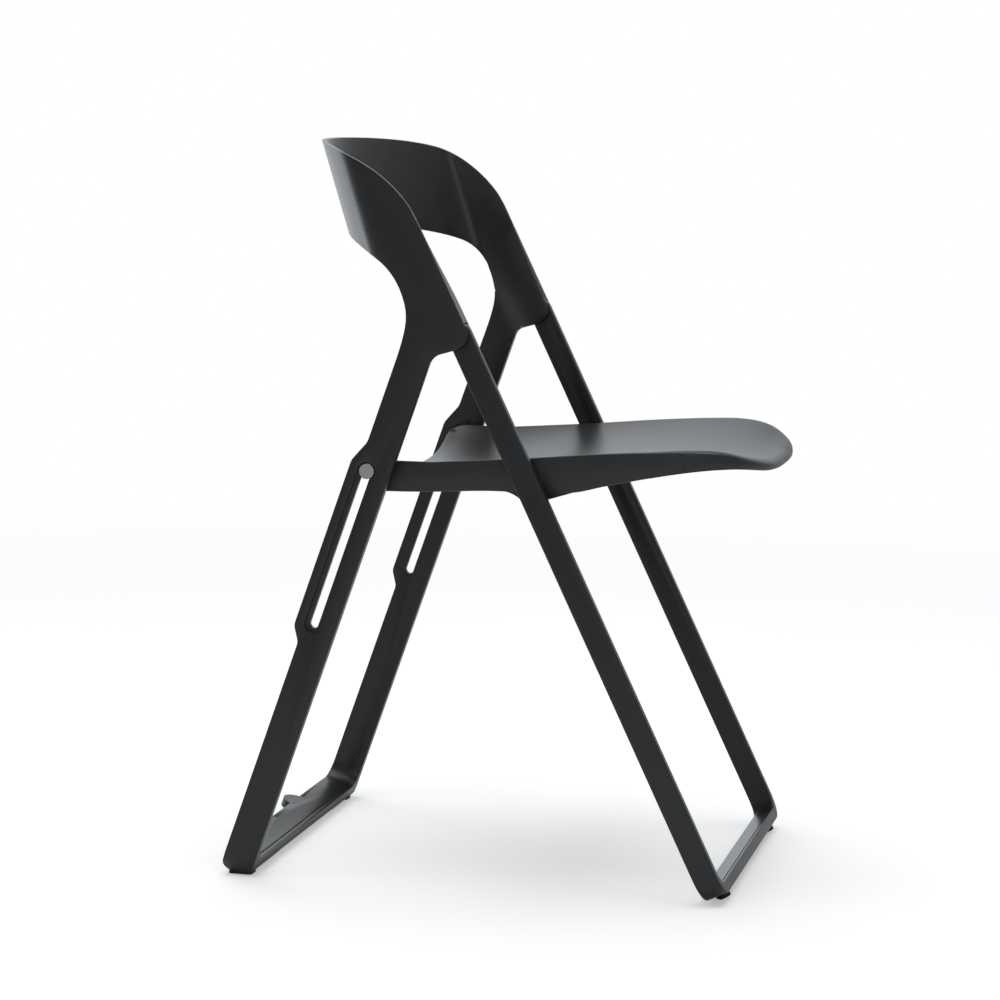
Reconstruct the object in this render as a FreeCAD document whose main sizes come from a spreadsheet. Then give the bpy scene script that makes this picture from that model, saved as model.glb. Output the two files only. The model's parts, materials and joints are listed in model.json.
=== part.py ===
import FreeCAD, Part
import math
import os
import Sketcher

# Folding chair with a horseshoe back, two bent leg frames and a moulded seat.
# Frame: X runs across the chair, the chair faces -Y, +Z is up, millimetres.
# The rear frame carries everything. The front frame turns on hinge pins in the
# rear frame, the seat turns on pivots in the front legs, and its two rear pins
# slide down stepped slots in the rear legs as the chair folds flat.

os.makedirs("parts", exist_ok=True)
doc = FreeCAD.newDocument("folding_chair")
Vector = FreeCAD.Vector
SIDES = (("right", -1), ("left", 1))

# ---------------------------------------------------------------- dimensions
DIMENSIONS = {
    # places of the three axes that rule the fold, on the chair's side plane
    "hinge_y": 29.0,
    "hinge_z": 588.5,
    "rear_lean": 18.5,
    "front_lean": 26.15,
    "pivot_reach": 175.4,
    "pin_drop": 168.6,
    "pin_set_back": 43.7,
    "pin_travel": 173.25,
    # rear frame
    "half_width": 222.0,
    "back_wall": 5.0,
    "back_lean": 17.7,
    "back_height": 782.0,
    "back_radius": 400.0,
    "back_corner": 29.0,
    "back_behind_hinge": 193.0,
    "rear_leg_front": 18.7,
    "rear_leg_back": 52.9,
    "rear_leg_wall": 11.0,
    "slot_land_back": 62.9,
    "slot_width": 9.5,
    "recess_width": 19.0,
    "recess_depth": 4.5,
    "rear_bar_top": 610.6,
    "rear_bar_wall": 11.0,
    "rear_bend": 30.0,
    "boss_wall": 22.0,
    "eye_gap": 13.8,
    "rear_sole": 3.0,
    # front frame
    "front_half": 217.0,
    "bar_wall": 12.0,
    "bar_depth": 25.5,
    "front_length": 647.5,
    "front_bend": 28.0,
    # seat
    "seat_half": 198.0,
    "seat_behind_hinge": 101.0,
    "seat_ahead_of_hinge": 317.5,
    "seat_bow": 162.5,
    "seat_squareness": 3.3,
    "seat_skin": 4.5,
    "seat_rim": 4.5,
    # turned and moulded small pieces
    "hinge_pin_radius": 4.0,
    "hinge_bush_radius": 6.0,
    "pivot_pin_radius": 4.0,
    "pivot_bush_radius": 6.5,
    "running_gap": 0.05,
    "free_gap": 0.3,
    "slide_pin_radius": 3.2,
    "slide_head_radius": 8.3,
    "sleeve_radius": 4.6,
    "collar_radius": 7.5,
    "foot_radius": 8.0,
    "foot_thick": 7.0,
    "foot_inset": 168.0,
    "pad_inner": 192.0,
    "pad_outer": 212.0,
    "pad_length": 26.0,
    "bumper_place": 57.0,
    "bumper_radius": 22.0,
    "bumper_reach": 13.0,
}

sheet = doc.addObject("Spreadsheet::Sheet", "sizes")
for row, (alias, number) in enumerate(DIMENSIONS.items(), start=1):
    sheet.set(f"A{row}", alias)
    sheet.set(f"B{row}", str(number))
    sheet.setAlias(f"B{row}", alias)
doc.recompute()


def size(alias):
    """Read a driving dimension back from the sheet."""
    return float(getattr(sheet, alias))


# ------------------------------------------------------------- frames of legs
REAR = math.radians(size("rear_lean"))
FRONT = math.radians(size("front_lean"))
HINGE = Vector(0, size("hinge_y"), size("hinge_z"))


def on_rear(down, forward, across=0.0):
    """Point in the rear leg's own frame: down the leg and forward of the hinge."""
    y = HINGE.y + down * math.sin(REAR) - forward * math.cos(REAR)
    z = HINGE.z - down * math.cos(REAR) - forward * math.sin(REAR)
    return Vector(across, y, z)


def on_front(down, forward, across=0.0):
    """Point in the front leg's own frame: down the leg and forward of the hinge."""
    y = HINGE.y - down * math.sin(FRONT) - forward * math.cos(FRONT)
    z = HINGE.z - down * math.cos(FRONT) + forward * math.sin(FRONT)
    return Vector(across, y, z)


def beside(forward, up, across=0.0):
    """Point on the chair's side, measured forward of and above the hinge."""
    return Vector(across, HINGE.y - forward, HINGE.z + up)


NECK_HEIGHT = HINGE.z + 19.5
BACK_CENTRE_Y = HINGE.y + size("back_behind_hinge") - size("back_radius")
PIVOT = on_front(size("pivot_reach"), 0)
PIN = on_rear(size("pin_drop"), -size("pin_set_back"))
REAR_DOWN = on_rear(1, 0) - HINGE
REAR_FORWARD = on_rear(0, 1) - HINGE
FRONT_DOWN = on_front(1, 0) - HINGE


# -------------------------------------------------------------- shape helpers
def corner_arc(before, point, after, radius):
    """Start, middle and end of the arc that rounds a corner between two neighbours."""
    back = (before - point).normalize()
    ahead = (after - point).normalize()
    half = back.getAngle(ahead) / 2
    reach = radius / math.tan(half)
    middle = point + (back + ahead).normalize() * (radius / math.sin(half) - radius)
    return point + back * reach, middle, point + ahead * reach


def rounded_edges(corners):
    """Edges of a closed outline of (point, radius) corners; a radius above zero makes an arc."""
    starts = []
    ends = []
    arcs = []
    count = len(corners)
    for index, (point, radius) in enumerate(corners):
        if radius > 0:
            following = corners[(index + 1) % count][0]
            start, middle, end = corner_arc(corners[index - 1][0], point, following, radius)
        else:
            start, middle, end = point, None, point
        starts.append(start)
        arcs.append(middle)
        ends.append(end)
    edges = []
    for index in range(count):
        if arcs[index] is not None:
            edges.append(Part.Arc(starts[index], arcs[index], ends[index]).toShape())
        following = starts[(index + 1) % count]
        if (ends[index] - following).Length > 1e-6:
            edges.append(Part.LineSegment(ends[index], following).toShape())
    return edges


def open_rounded(chain):
    """Edges of an open chain of (point, radius) corners."""
    edges = []
    cursor = chain[0][0]
    for index in range(1, len(chain)):
        point, radius = chain[index]
        if radius > 0:
            start, middle, end = corner_arc(chain[index - 1][0], point, chain[index + 1][0], radius)
        else:
            start, middle, end = point, None, point
        edges.append(Part.LineSegment(cursor, start).toShape())
        if middle is not None:
            edges.append(Part.Arc(start, middle, end).toShape())
        cursor = end
    return edges


def flat_prism(corners, direction):
    """Solid from a rounded outline pushed along a vector."""
    wire = Part.Wire(rounded_edges(corners))
    return Part.Face(wire).extrude(direction)


def smooth_step(value, low, high):
    share = min(1.0, max(0.0, (value - low) / (high - low)))
    return share * share * (3 - 2 * share)


def surface_through(grid):
    """One smooth face through a grid of points."""
    patch = Part.BSplineSurface()
    patch.interpolate(grid)
    return patch.toShape()


def feature(name, shape):
    item = doc.addObject("Part::Feature", name)
    item.Shape = shape
    return item


def across_cylinder(name, radius, length, centre, side, reach):
    """Cylinder along X; reach is how far out from the middle its outer end lies."""
    item = doc.addObject("Part::Cylinder", name)
    item.setExpression("Radius", radius)
    item.setExpression("Height", length)
    item.recompute()
    turn = FreeCAD.Rotation(Vector(0, 1, 0), -90 * side)
    item.Placement = FreeCAD.Placement(Vector(side * reach, centre.y, centre.z), turn)
    return item


def cut(name, base, tool):
    item = doc.addObject("Part::Cut", name)
    item.Base = base
    item.Tool = tool
    return item


def fuse(name, members):
    item = doc.addObject("Part::MultiFuse", name)
    item.Shapes = members
    return item


finished = {}


def finish(label, item):
    item.Label = label
    finished[label] = item


# ------------------------------------------------------------------ rear frame
def side_outline():
    """Silhouette of the rear frame: back, wing, neck, slotted leg and sole."""
    top = [beside(-213, 198), beside(-158, 192.7), beside(-116, 180.7),
           beside(-81, 159.3), beside(-57.4, 135.5), beside(-43.1, 111.3)]
    crown = Part.BSplineCurve()
    crown.interpolate(Points=top, InitialTangent=Vector(0, -1, -0.06), FinalTangent=FRONT_DOWN)
    lower = [on_rear(46.5, -size("rear_leg_back")), beside(-58.5, -5.5), beside(-55.3, 17.5),
             beside(-59.2, 37.5), beside(-78, 68), beside(-111.6, 86.3),
             beside(-158, 99.5), beside(-198, 104.5)]
    arch = Part.BSplineCurve()
    arch.interpolate(Points=lower, InitialTangent=REAR_DOWN * -1, FinalTangent=Vector(0, 1, 0.1))
    front = -size("rear_leg_front")
    back = -size("rear_leg_back")
    land = -size("slot_land_back")
    sole = size("rear_sole")
    toe = on_rear(623.7, front)
    heel = on_rear(635.1, back)
    toe.z = sole
    heel.z = sole
    under = beside(-2, -15.7)
    chain = [(top[-1], 0), (on_front(10.0, 11.0), 12), (under, 0), (on_rear(31.0, front), 15),
             (toe, 3), (heel, 10), (on_rear(367, back), 12), (on_rear(351, land), 14),
             (on_rear(163, land), 16), (on_rear(139, back), 16), (lower[0], 0)]
    edges = open_rounded(chain)
    edges.append(arch.toShape())
    edges.append(Part.LineSegment(lower[-1], top[0]).toShape())
    edges.append(crown.toShape())
    return Part.Wire(Part.__sortEdges__(edges))


def back_shell():
    """Horseshoe band: a plan curve of arcs pushed up along the leaning back."""
    outer = size("half_width")
    wall = size("back_wall")
    radius = size("back_radius")
    corner = size("back_corner")
    middle_y = BACK_CENTRE_Y
    corner_x = outer - corner
    corner_y = middle_y + math.sqrt((radius - corner) ** 2 - corner_x ** 2)
    toward = Vector(corner_x, corner_y - middle_y, 0).normalize()
    front_y = HINGE.y - 69

    def plan(offset):
        """Half plan: wing line, corner arc, back arc to the middle."""
        wing_x = outer - offset
        tight = corner - offset
        join = Vector(0, middle_y, 0) + toward * (radius - offset)
        bisect = (Vector(1, 0, 0) + toward).normalize()
        knee = Vector(corner_x, corner_y, 0) + bisect * tight
        crown = Vector(0, middle_y + radius - offset, 0)
        between = (toward + Vector(0, 1, 0)).normalize()
        arc_middle = Vector(0, middle_y, 0) + between * (radius - offset)
        tangent = Vector(wing_x, corner_y, 0)
        return [Part.LineSegment(Vector(wing_x, front_y, 0), tangent).toShape(),
                Part.Arc(tangent, knee, join).toShape(),
                Part.Arc(join, arc_middle, crown).toShape()]

    edges = []
    for offset in (0, wall):
        half = plan(offset)
        for edge in half:
            edges.append(edge)
            edges.append(edge.mirror(Vector(0, 0, 0), Vector(1, 0, 0)))
    for side in (-1, 1):
        edges.append(Part.LineSegment(Vector(side * outer, front_y, 0),
                                      Vector(side * (outer - wall), front_y, 0)).toShape())
    section = Part.Face(Part.Wire(Part.__sortEdges__(edges)))
    slope = math.tan(math.radians(size("back_lean")))
    low = NECK_HEIGHT
    high = 800.0
    section.translate(Vector(0, -(size("back_height") - low) * slope, low))
    return section.extrude(Vector(0, (high - low) * slope, high - low))


def bend_line(height):
    """How far back the flat wing runs at a height before the back's corner bend."""
    slope = math.tan(math.radians(size("back_lean")))
    radius = size("back_radius")
    corner = size("back_corner")
    corner_x = size("half_width") - corner
    corner_y = BACK_CENTRE_Y + math.sqrt((radius - corner) ** 2 - corner_x ** 2)
    return corner_y - (size("back_height") - height) * slope


def wing_thickness(down, forward):
    """Wall of the wing: thin at the back, thick at the hinge, leg wall below."""
    along = down * math.cos(REAR + FRONT) + forward * math.sin(REAR + FRONT)
    ahead = forward * math.cos(REAR + FRONT) - down * math.sin(REAR + FRONT)
    thin = size("back_wall") - 0.6
    boss = smooth_step(along, -118, -20) * smooth_step(ahead, -52, -14)
    leg = smooth_step(down, -40, 70)
    thick = thin + (size("boss_wall") - thin) * boss
    wall = thin + (size("rear_leg_wall") - thin) * leg
    return min(size("boss_wall"), (thick ** 6 + wall ** 6) ** (1 / 6))


def wing_filling(side):
    """Solid between the wing's outer plane and its smoothly swelling inner face."""
    outer = size("half_width")
    downs = [-260 + 370 * step / 37 for step in range(38)]
    forwards = [-150 + 240 * step / 24 for step in range(25)]
    grid = []
    for down in downs:
        line = []
        for forward in forwards:
            line.append(on_rear(down, forward, side * (outer - wing_thickness(down, forward))))
        grid.append(line)
    inner = surface_through(grid)
    solid = inner.extrude(Vector(side * 40, 0, 0))
    ceiling = HINGE.z + 201.5
    neck = Vector(0, bend_line(NECK_HEIGHT), NECK_HEIGHT)
    corners = [(neck, 0), (Vector(0, neck.y + 30, neck.z), 0), (on_rear(downs[-1], forwards[0]), 0),
               (on_rear(downs[-1], forwards[-1]), 0), (beside(89, 201.5), 0),
               (Vector(0, bend_line(ceiling), ceiling), 0)]
    keep = flat_prism(corners, Vector(side * outer, 0, 0))
    return solid.common(keep)


def leg_bend():
    """Lower legs and the cross bar that joins them, seen square to the legs."""
    outer = size("half_width")
    inner = outer - size("rear_leg_wall")
    bend = size("rear_bend")
    start = 110.0
    bar = size("rear_bar_top")
    bottom = bar + 27.4
    depth = REAR_FORWARD * 90

    def across(x, down):
        return on_rear(down, -76, x)

    whole = flat_prism([(across(-outer, start), 0), (across(outer, start), 0),
                        (across(outer, bottom), bend), (across(-outer, bottom), bend)], depth)
    window = flat_prism([(across(-inner, start - 20), 0), (across(inner, start - 20), 0),
                         (across(inner, bar), bend - 10), (across(-inner, bar), bend - 10)], depth)
    under = bar + size("rear_bar_wall")
    arch = flat_prism([(across(-190, bottom + 4), 0), (across(-118, under), 110),
                       (across(118, under), 110), (across(190, bottom + 4), 0)], depth)
    return whole.cut(window).cut(arch)


def slot_solid(side, radius, low_x, high_x):
    """Long rounded slot along the rear leg, between two distances from the middle."""
    start = size("pin_drop")
    stop = start + size("pin_travel") + 1.0
    line = -size("pin_set_back")
    corners = [(on_rear(start - radius, line + radius, side * low_x), radius * 0.9999),
               (on_rear(stop + radius, line + radius, side * low_x), radius * 0.9999),
               (on_rear(stop + radius, line - radius, side * low_x), radius * 0.9999),
               (on_rear(start - radius, line - radius, side * low_x), radius * 0.9999)]
    return flat_prism(corners, Vector(side * (high_x - low_x), 0, 0))


def clevis_pocket(side):
    """Room between the wing's two skins for the front leg's eye and its swing."""
    middle = size("front_half") - size("bar_wall") / 2
    low = middle - size("eye_gap") / 2
    high = middle + size("eye_gap") / 2
    round_room = size("bar_depth") / 2 + 1.2
    disc = Part.makeCylinder(round_room, high - low, Vector(low, HINGE.y, HINGE.z), Vector(1, 0, 0))
    swing = flat_prism([(on_rear(0, -round_room, low), 0), (on_rear(90, -round_room, low), 0),
                        (on_front(90, round_room + 20, low), 0), (on_front(0, round_room, low), 0),
                        (Vector(low, HINGE.y, HINGE.z), 0)], Vector(high - low, 0, 0))
    pocket = disc.fuse(swing)
    if side < 0:
        pocket = pocket.mirror(Vector(0, 0, 0), Vector(1, 0, 0))
    return pocket


def groove_tool():
    """Fine decorative groove on the cross bar's top, near its front edge."""
    top = size("rear_bar_top")
    place = -size("rear_leg_front") - 4.0
    return flat_prism([(on_rear(top - 3, place, -190), 0), (on_rear(top + 1.4, place, -190), 0.5),
                       (on_rear(top + 1.4, place - 1.8, -190), 0.5),
                       (on_rear(top - 3, place - 1.8, -190), 0)],
                      Vector(380, 0, 0))


def build_rear_frame():
    outer = size("half_width")
    silhouette = Part.Face(side_outline())
    silhouette.translate(Vector(-outer - 5, 0, 0))
    block = silhouette.extrude(Vector(2 * outer + 10, 0, 0))
    body = back_shell().fuse([wing_filling(-1), wing_filling(1), leg_bend()])
    frame = block.common(body)
    for _, side in SIDES:
        frame = frame.cut(clevis_pocket(side))
        frame = frame.cut(slot_solid(side, size("slot_width") / 2, outer - 40, outer + 5))
        frame = frame.cut(slot_solid(side, size("recess_width") / 2,
                                     outer - size("recess_depth"), outer + 5))
    frame = frame.cut(groove_tool()).removeSplitter()
    base = feature("rear_frame_casting", frame)
    bores = [across_cylinder(f"rear_frame_bore_{name}", "sizes.hinge_pin_radius", "17.3 mm",
                             HINGE, side, size("half_width") - 2.5) for name, side in SIDES]
    for name, side in SIDES:
        bores.append(upright(f"rear_frame_pad_hole_{name}", "3 mm", -1, 9, pad_place(side)))
        bores.append(bumper_lobe(f"rear_frame_notch_{name}", side))
    tool = fuse("rear_frame_bores", bores)
    finish("rear_frame", cut("rear_frame_bored", base, tool))


# ----------------------------------------------------------------- front frame
def plane_of(body, role):
    for item in body.Origin.OriginFeatures:
        if item.Role == role:
            return item
    raise ValueError(role)


def sketch_on(body, role, name):
    sketch = body.newObject("Sketcher::SketchObject", name)
    sketch.AttachmentSupport = [(plane_of(body, role), "")]
    sketch.MapMode = "FlatFace"
    return sketch


def add_rectangle(sketch, half_wide, low, high):
    """Rectangle about the sketch's vertical axis, its width and ends bound to the sheet."""
    corners = [Vector(-1, -1, 0), Vector(1, -1, 0), Vector(1, 1, 0), Vector(-1, 1, 0)]
    first = sketch.GeometryCount
    for index in range(4):
        begin = corners[index] * 50
        finish_point = corners[(index + 1) % 4] * 50
        sketch.addGeometry(Part.LineSegment(begin, finish_point), False)
    for index in range(4):
        sketch.addConstraint(Sketcher.Constraint("Coincident", first + index, 2,
                                                 first + (index + 1) % 4, 1))
    sketch.addConstraint(Sketcher.Constraint("Horizontal", first + 2))
    sketch.addConstraint(Sketcher.Constraint("Vertical", first + 1))
    sketch.addConstraint(Sketcher.Constraint("Vertical", first + 3))
    sketch.addConstraint(Sketcher.Constraint("Symmetric", first, 1, first, 2, -2))
    bindings = (("DistanceX", (first, 1, first, 2), f"2 * {half_wide}"),
                ("DistanceY", (first, 1, -1, 1), f"-({low})"),
                ("DistanceY", (first, 1, first + 2, 1), f"{high} - ({low})"))
    for kind, places, rule in bindings:
        number = sketch.addConstraint(Sketcher.Constraint(kind, *places, 10.0))
        sketch.setExpression(f"Constraints[{number}]", rule)


def edges_where(shape, test):
    """Names of the straight edges whose middle and direction pass a test."""
    names = []
    for number, edge in enumerate(shape.Edges, start=1):
        if edge.Curve.TypeId != "Part::GeomLine":
            continue
        direction = (edge.Vertexes[-1].Point - edge.Vertexes[0].Point).normalize()
        if test(edge.CenterOfMass, direction, edge.Length):
            names.append(f"Edge{number}")
    return names


def build_front_frame():
    """U of flat bar: local X across, local Y up the leg, local Z out of its plane."""
    body = doc.addObject("PartDesign::Body", "front_frame_body")
    half = size("front_half")
    wall = size("bar_wall")
    depth = size("bar_depth")
    length = size("front_length")

    outline = sketch_on(body, "XY_Plane", "front_frame_outline")
    add_rectangle(outline, "sizes.front_half", "-sizes.front_length", "sizes.bar_depth / 2")
    slab = body.newObject("PartDesign::Pad", "front_frame_slab")
    slab.Profile = outline
    slab.Midplane = True
    slab.setExpression("Length", "sizes.bar_depth")

    window = sketch_on(body, "XY_Plane", "front_frame_window")
    add_rectangle(window, "(sizes.front_half - sizes.bar_wall)",
                  "-(sizes.front_length - sizes.bar_wall)", "(sizes.bar_depth / 2 + 20)")
    opening = body.newObject("PartDesign::Pocket", "front_frame_opening")
    opening.Profile = window
    opening.Midplane = True
    opening.setExpression("Length", "2 * sizes.bar_depth")
    doc.recompute()

    def fillet(name, base, test, rule):
        item = body.newObject("PartDesign::Fillet", name)
        item.Base = (base, edges_where(base.Shape, test))
        item.setExpression("Radius", rule)
        doc.recompute()
        return item

    def outer_corner(middle, direction, _):
        return abs(direction.z) > 0.9 and middle.y < -length + 1 and abs(middle.x) > half - 1

    def inner_corner(middle, direction, _):
        return abs(direction.z) > 0.9 and abs(middle.y + length - wall) < 1

    def eye_corner(middle, direction, edge_length):
        return abs(direction.x) > 0.9 and middle.y > depth / 2 - 1 and edge_length < wall + 1

    bent = fillet("front_frame_bends", opening, outer_corner, "sizes.front_bend")
    bent = fillet("front_frame_inner_bends", bent, inner_corner, "sizes.front_bend - sizes.bar_wall")
    eyes = fillet("front_frame_eyes", bent, eye_corner, "sizes.bar_depth / 2 - 0.05")

    def long_corner(middle, direction, edge_length):
        return abs(direction.z) < 0.1 and edge_length > 100

    soft = fillet("front_frame_softened", eyes, long_corner, "1.6")

    def bore(name, place, radius, low, high):
        """Round hole through or into both legs, made by a symmetric pair of pockets."""
        holes = []
        for side in (-1, 1):
            tool = doc.addObject("Part::Cylinder", f"{name}_{'right' if side < 0 else 'left'}")
            tool.setExpression("Radius", radius)
            tool.Height = high - low
            turn = FreeCAD.Rotation(Vector(0, 1, 0), 90 * side)
            tool.Placement = FreeCAD.Placement(Vector(side * low, place.y, place.z), turn)
            holes.append(tool)
        return holes

    body.Tip = soft
    lean = FreeCAD.Rotation(Vector(1, 0, 0), 90 - size("front_lean"))
    body.Placement = FreeCAD.Placement(HINGE, lean)
    doc.recompute()
    drills = bore("hinge_eye_bore", HINGE, "sizes.hinge_bush_radius", half - wall - 5, half + 5)
    drills += bore("pivot_bore", PIVOT, "sizes.pivot_pin_radius", half - wall - 5, half - 4)
    groove = doc.addObject("Part::Box", "front_bar_groove")
    groove.Length = 360
    groove.Width = 1.8
    groove.Height = 4.4
    corner = on_front(length - wall - 3, depth / 2 - 5.0, -180)
    groove.Placement = FreeCAD.Placement(corner, FreeCAD.Rotation(Vector(1, 0, 0), 180 - size("front_lean")))
    drills += [down_bar(f"front_frame_foot_hole_{name}", 1.9, -8, 2, side) for name, side in SIDES]
    tools = fuse("front_frame_tools", drills + [groove])
    finish("front_frame", cut("front_frame_drilled", body, tools))


# ------------------------------------------------------------------------ seat
SEAT_BACK_Y = HINGE.y + size("seat_behind_hinge")
SEAT_FRONT_Y = HINGE.y - size("seat_ahead_of_hinge")


def rim_height(y):
    """Height of the seat's side edge, front to back, as it would run straight on."""
    forward = HINGE.y - y
    return 452 + smooth_step(forward, -58, 257) * 23 - smooth_step(forward, 257, 327) * 21


def hollow_height(y):
    """Height of the seat's middle line: low at the back, rolling over in front."""
    forward = HINGE.y - y
    return 419.5 + smooth_step(forward, -188, 252) * 38.5 - smooth_step(forward, 250, 330) * 4


def edge_reach(y):
    """Half width of the seat at a depth: straight sides, then a squarish bow."""
    depth = (SEAT_FRONT_Y + size("seat_bow") - y) / size("seat_bow")
    squareness = size("seat_squareness")
    left = 1 - max(0.0, depth) ** squareness
    return size("seat_half") * max(0.2, left) ** (1 / squareness)


def seat_height(x, y):
    """Height of the seat's top: a tray at the back that opens into a waterfall."""
    power = 4.2 - 2.2 * smooth_step(HINGE.y - y, -98, 212)
    share = (abs(x) / edge_reach(y)) ** power
    share = min(share, 1.4)
    return hollow_height(y) + (rim_height(y) - hollow_height(y)) * share


def seat_surface(drop, reach):
    back = SEAT_BACK_Y + 12
    front = SEAT_FRONT_Y - 12
    grid = []
    for row in range(37):
        y = back + (front - back) * row / 36
        line = []
        for column in range(33):
            x = -reach + 2 * reach * column / 32
            line.append(Vector(x, y, seat_height(x, y) - drop))
        grid.append(line)
    return surface_through(grid)


def seat_plan(inset):
    """Plan outline: straight sides, tight rear corners, squarish bowed front."""
    half = size("seat_half") - inset
    back = SEAT_BACK_Y - inset
    bow = size("seat_bow") - inset
    start = SEAT_FRONT_Y + size("seat_bow")
    corner = 20.0 - inset
    power = 2 / size("seat_squareness")
    points = []
    for step in range(25):
        angle = math.pi * step / 24
        across = half * abs(math.cos(angle)) ** power
        points.append(Vector(math.copysign(across, math.cos(angle)),
                             start - bow * math.sin(angle) ** power, 0))
    front = Part.BSplineCurve()
    front.interpolate(Points=points, InitialTangent=Vector(0, -1, 0), FinalTangent=Vector(0, 1, 0))
    arc = front.toShape()
    left = Vector(half, start, 0)
    right = Vector(-half, start, 0)
    lean = corner * (1 - math.sqrt(0.5))
    edges = [arc,
             Part.LineSegment(left, Vector(half, back - corner, 0)).toShape(),
             Part.Arc(Vector(half, back - corner, 0), Vector(half - lean, back - lean, 0),
                      Vector(half - corner, back, 0)).toShape(),
             Part.LineSegment(Vector(half - corner, back, 0), Vector(corner - half, back, 0)).toShape(),
             Part.Arc(Vector(corner - half, back, 0), Vector(lean - half, back - lean, 0),
                      Vector(-half, back - corner, 0)).toShape(),
             Part.LineSegment(Vector(-half, back - corner, 0), right).toShape()]
    return Part.Face(Part.Wire(Part.__sortEdges__(edges)))


def skirt_keep():
    """Everything above the skirt's lower edge, seen from the side."""
    lug = PIVOT
    low = [beside(-109, -161.5), beside(-93, -168), beside(-77, -168.9), beside(-31, -167.5),
           beside(29, -163.9)]
    curve = Part.BSplineCurve()
    curve.interpolate(low)
    front = [beside(122, -161.5), beside(155, -153.5), beside(202, -143.1), beside(247, -135.5),
             beside(280, -133.7), beside(300, -136), beside(320, -142.5)]
    rise = Part.BSplineCurve()
    rise.interpolate(front)
    lug_low = lug.z - 14.0
    lug_start = beside(47, -163.9)
    lug_left = Vector(0, lug.y + 13, lug_low)
    lug_right = Vector(0, lug.y - 14, lug_low)
    lug_bottom = Vector(0, lug.y, lug_low - 0.9)
    edges = [curve.toShape(),
             Part.LineSegment(low[-1], lug_start).toShape(),
             Part.Arc(lug_start, beside(55, -165.9), lug_left).toShape(),
             Part.Arc(lug_left, lug_bottom, lug_right).toShape(),
             Part.LineSegment(lug_right, front[0]).toShape(),
             rise.toShape()]
    corners = [front[-1], beside(340, -142.5), beside(340, -68), beside(-131, -68),
               beside(-131, -161.5), low[0]]
    for begin, end in zip(corners, corners[1:]):
        edges.append(Part.LineSegment(begin, end).toShape())
    face = Part.Face(Part.Wire(Part.__sortEdges__(edges)))
    face.translate(Vector(-260, 0, 0))
    return face.extrude(Vector(520, 0, 0))


def seat_under(inset, drop):
    """Solid below a lowered copy of the top surface, inside an inset plan."""
    floor = 395.0
    plan = seat_plan(inset)
    plan.translate(Vector(0, 0, floor))
    column = plan.extrude(Vector(0, 0, 140))
    top = seat_surface(drop, size("seat_half") + 14)
    below = top.extrude(Vector(0, 0, -120))
    return column.common(below)


def build_seat():
    skin = size("seat_skin")
    rim = size("seat_rim")
    outer = seat_under(0, 0)
    core = seat_under(rim, skin)
    skirt = outer.cut(core).common(skirt_keep())
    sheet_top = outer.cut(seat_under(-2, skin))
    shell = skirt.fuse(sheet_top)
    half = size("seat_half")
    blocks = []
    for _, side in SIDES:
        lug = Part.makeCylinder(13.5, 15, Vector(side * half, PIVOT.y, PIVOT.z),
                                Vector(-side, 0, 0))
        boss = Part.makeCylinder(11.0, 15, Vector(side * half, PIN.y - 2, PIN.z - 9), Vector(-side, 0, 0))
        blocks += [lug, boss]
    ribs = []
    for forward in (-70, 10, 90, 170):
        ribs.append(Part.makeBox(2 * half - 6, 3, 90, beside(forward, -190, 3 - half)))
    for across in (-120, -40, 40, 120):
        ribs.append(Part.makeBox(3, 330, 90, beside(250, -190, across - 1.5)))
    band = seat_under(0.6, 2.0).cut(seat_under(-3, 14.0))
    web = ribs[0].fuse(ribs[1:]).common(band)
    solid_ends = blocks[0].fuse(blocks[1:]).common(seat_under(0.2, 1.0))
    shell = shell.fuse([web, solid_ends]).removeSplitter()
    base = feature("seat_moulding", shell)
    tools = []
    for name, side in SIDES:
        tools.append(across_cylinder(f"seat_pivot_hole_{name}", "sizes.pivot_bush_radius", "40 mm",
                                     PIVOT, side, half + 10))
        tools.append(across_cylinder(f"seat_insert_hole_{name}", "sizes.slide_pin_radius + 1.8",
                                     "13 mm", PIN, side, half + 1))
    finish("seat_shell", cut("seat_shell_drilled", base, fuse("seat_shell_holes", tools)))


# --------------------------------------------------- pins, bushes, feet, pads
def ring(label, outer_radius, inner_radius, centre, side, outer_end, inner_end):
    """Bush, washer or collar: a tube along X between two distances from the middle."""
    length = f"{outer_end - inner_end} mm"
    body = across_cylinder(f"{label}_body_{outer_end:.0f}", outer_radius, length, centre, side, outer_end)
    hole = across_cylinder(f"{label}_hole_{outer_end:.0f}", inner_radius, length, centre, side, outer_end)
    return cut(f"{label}_{outer_end:.0f}", body, hole)


def build_hinge(name, side):
    eye_out = size("front_half")
    eye_in = eye_out - size("bar_wall")
    middle = (eye_out + eye_in) / 2
    pocket_out = middle + size("eye_gap") / 2
    pocket_in = middle - size("eye_gap") / 2
    running = "sizes.hinge_pin_radius + sizes.running_gap"
    end = size("half_width") - 2.5
    finish(f"hinge_pin_{name}", across_cylinder(f"hinge_pin_{name}_rod", "sizes.hinge_pin_radius",
                                                "17.3 mm", HINGE, side, end))
    finish(f"hinge_bush_{name}", ring(f"hinge_bush_{name}", "sizes.hinge_bush_radius", running,
                                      HINGE, side, eye_out, eye_in))
    gap = size("free_gap")
    washers = [ring(f"hinge_washer_{name}", "10 mm", running, HINGE, side, pocket_out, eye_out + gap),
               ring(f"hinge_washer_{name}", "10 mm", running, HINGE, side, eye_in - gap, pocket_in)]
    finish(f"hinge_washers_{name}", fuse(f"hinge_washers_{name}_pair", washers))


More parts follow.
